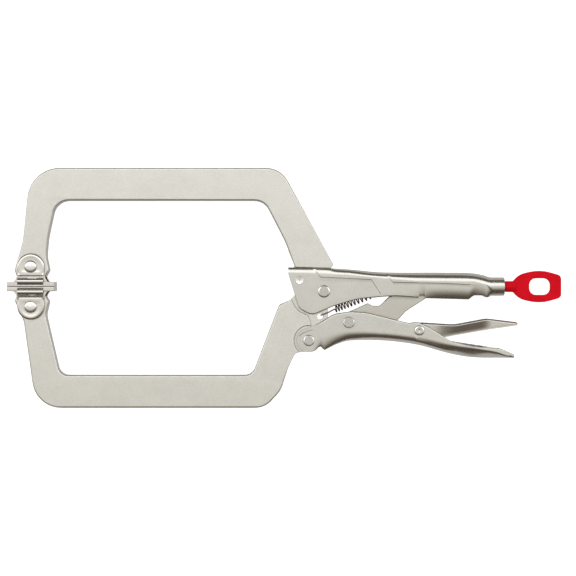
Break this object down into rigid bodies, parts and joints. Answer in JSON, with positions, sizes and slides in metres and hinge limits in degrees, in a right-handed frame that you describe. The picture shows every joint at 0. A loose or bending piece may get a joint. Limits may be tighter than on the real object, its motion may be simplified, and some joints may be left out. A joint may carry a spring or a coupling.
{
  "type": "locking c clamp",
  "caption": "Locking C-clamp with swivel pads, over-centre toggle handles, release lever and an adjusting screw with a thumb loop.",
  "frame": {"origin": "middle of the closed pads' contact line, halfway through the clamp's thickness", "axes": "+X from the pads to the thumb loop, +Y to the fixed arm, +Z out of the clamp's flat side; the clamp lies on its side"},
  "size_m": [0.4581, 0.1987, 0.02],
  "materials": {
    "arm_steel": "satin nickel plate with a fine grain",
    "handle_steel": "bright nickel plate on pressed sheet",
    "pad_steel": "bright plated pressing",
    "rivet_steel": "plated rivet heads",
    "link_steel": "dull plated bar",
    "screw_steel": "machined thread",
    "spring_wire": "dark oiled wire",
    "red_coating": "smooth red coating on steel"
  },
  "bodies": {
    "upper_handle": {"upper_handle": "handle_steel", "fixed_arm": "arm_steel", "fixed_arm_pin": "rivet_steel", "main_pivot_rivet": "rivet_steel"},
    "movable_arm": {"movable_arm": "arm_steel", "tension_spring": "spring_wire"},
    "lower_handle": {"lower_handle": "handle_steel", "jaw_rivet": "rivet_steel", "toggle_rivet": "rivet_steel", "release_rivet": "rivet_steel"},
    "toggle_link": {"toggle_link": "link_steel"},
    "release_lever": {"release_lever": "handle_steel"},
    "adjusting_screw": {"adjusting_screw": "screw_steel"},
    "thumb_loop": {"thumb_loop": "red_coating"},
    "fixed_pad": {"fixed_pad": "pad_steel", "fixed_pad_rivet": "rivet_steel"},
    "moving_pad": {"moving_pad": "pad_steel", "moving_pad_rivet": "rivet_steel"}
  },
  "joints": [
    {"name": "jaw_pivot", "type": "hinge", "parent": "upper_handle", "child": "movable_arm", "pos_m": [0.242, -0.004, 0], "axis": [0, 0, 1], "range_deg": [0, 30], "deforming": ["tension_spring"]},
    {"name": "handle_pivot", "type": "hinge", "parent": "movable_arm", "child": "lower_handle", "pos_m": [0.2295, -0.0445, 0], "axis": [0, 0, 1], "range_deg": [-77, 0]},
    {"name": "link_pivot", "type": "hinge", "parent": "lower_handle", "child": "toggle_link", "pos_m": [0.2625, -0.0296, 0], "axis": [0, 0, 1], "range_deg": [0, 75]},
    {"name": "release_pivot", "type": "hinge", "parent": "lower_handle", "child": "release_lever", "pos_m": [0.3206, -0.0362, 0], "axis": [0, 0, 1], "range_deg": [-10, 0]},
    {"name": "fixed_pad_swivel", "type": "hinge", "parent": "upper_handle", "child": "fixed_pad", "pos_m": [0, 0.0165, 0], "axis": [0, 0, 1], "range_deg": [0, 15]},
    {"name": "moving_pad_swivel", "type": "hinge", "parent": "movable_arm", "child": "moving_pad", "pos_m": [0, -0.0165, 0], "axis": [0, 0, 1], "range_deg": [-15, 0]},
    {"name": "screw_feed", "type": "slide", "parent": "upper_handle", "child": "adjusting_screw", "axis": [1, 0, 0], "range_m": [0, 0.02581]},
    {"name": "screw_turn", "type": "hinge", "parent": "adjusting_screw", "child": "thumb_loop", "pos_m": [0.396, 0, 0], "axis": [1, 0, 0], "range_deg": [0, 5850]}
  ],
  "couplings": [
    {"joint": "handle_pivot", "follows": "jaw_pivot", "ratio": -2.5649},
    {"joint": "link_pivot", "follows": "jaw_pivot", "ratio": 2.4858},
    {"joint": "fixed_pad_swivel", "follows": "jaw_pivot", "ratio": 0.5},
    {"joint": "moving_pad_swivel", "follows": "jaw_pivot", "ratio": -0.5},
    {"joint": "screw_feed", "follows": "screw_turn", "m_per_rad": 0.00025266}
  ]
}
